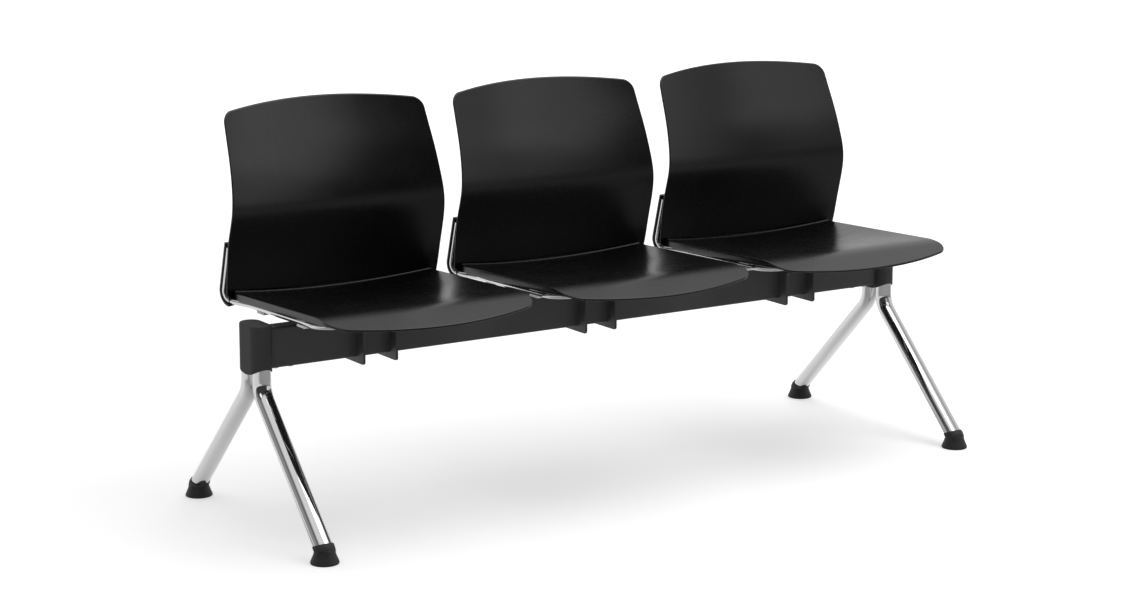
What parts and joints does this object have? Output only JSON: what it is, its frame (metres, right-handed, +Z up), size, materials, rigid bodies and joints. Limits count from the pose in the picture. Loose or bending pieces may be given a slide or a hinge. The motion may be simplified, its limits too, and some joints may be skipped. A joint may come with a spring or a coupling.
{
  "type": "beam seating",
  "caption": "Beam seat with moulded seat and back shells on chromed bent rods, bracketed to a rectangular steel beam with splayed oval legs and capped feet.",
  "frame": {"origin": "on the floor, under the middle of the overall width and depth", "axes": "+X along the beam to the sitter's left, +Y from the front of the seats to the backs, +Z up"},
  "size_m": [1.595, 0.611, 0.81],
  "materials": {
    "beam_paint": "satin dark grey powder coat",
    "head_steel": "plain zinc-plated steel",
    "cap_plastic": "satin dark grey moulded plastic",
    "leg_chrome": "polished chrome",
    "foot_plastic": "matt dark grey moulded plastic",
    "rod_chrome": "polished chrome",
    "bracket_paint": "satin dark grey powder coat",
    "shell_plastic": "smooth black moulded plastic with a soft gloss",
    "clip_plastic": "matt black moulded plastic",
    "screw_steel": "zinc-plated steel"
  },
  "bodies": {
    "root": {"beam": "beam_paint", "leg_head_left": "head_steel", "end_cap_left": "cap_plastic", "leg_front_left": "leg_chrome", "foot_front_left": "foot_plastic", "leg_rear_left": "leg_chrome", "foot_rear_left": "foot_plastic", "leg_head_right": "head_steel", "end_cap_right": "cap_plastic", "leg_front_right": "leg_chrome", "foot_front_right": "foot_plastic", "leg_rear_right": "leg_chrome", "foot_rear_right": "foot_plastic", "beam_end_screws": "screw_steel", "bracket_screws": "screw_steel", "beam_nuts": "screw_steel", "seat_rod_left_1": "rod_chrome", "seat_rod_right_1": "rod_chrome", "cross_bar_1": "rod_chrome", "bracket_1": "bracket_paint", "seat_shell_1": "shell_plastic", "back_shell_1": "shell_plastic", "seat_clips_1": "clip_plastic", "seat_rod_left_2": "rod_chrome", "seat_rod_right_2": "rod_chrome", "cross_bar_2": "rod_chrome", "bracket_2": "bracket_paint", "seat_shell_2": "shell_plastic", "back_shell_2": "shell_plastic", "seat_clips_2": "clip_plastic", "seat_rod_left_3": "rod_chrome", "seat_rod_right_3": "rod_chrome", "cross_bar_3": "rod_chrome", "bracket_3": "bracket_paint", "seat_shell_3": "shell_plastic", "back_shell_3": "shell_plastic", "seat_clips_3": "clip_plastic", "clip_screws": "screw_steel", "back_screws": "screw_steel"}
  },
  "joints": []
}
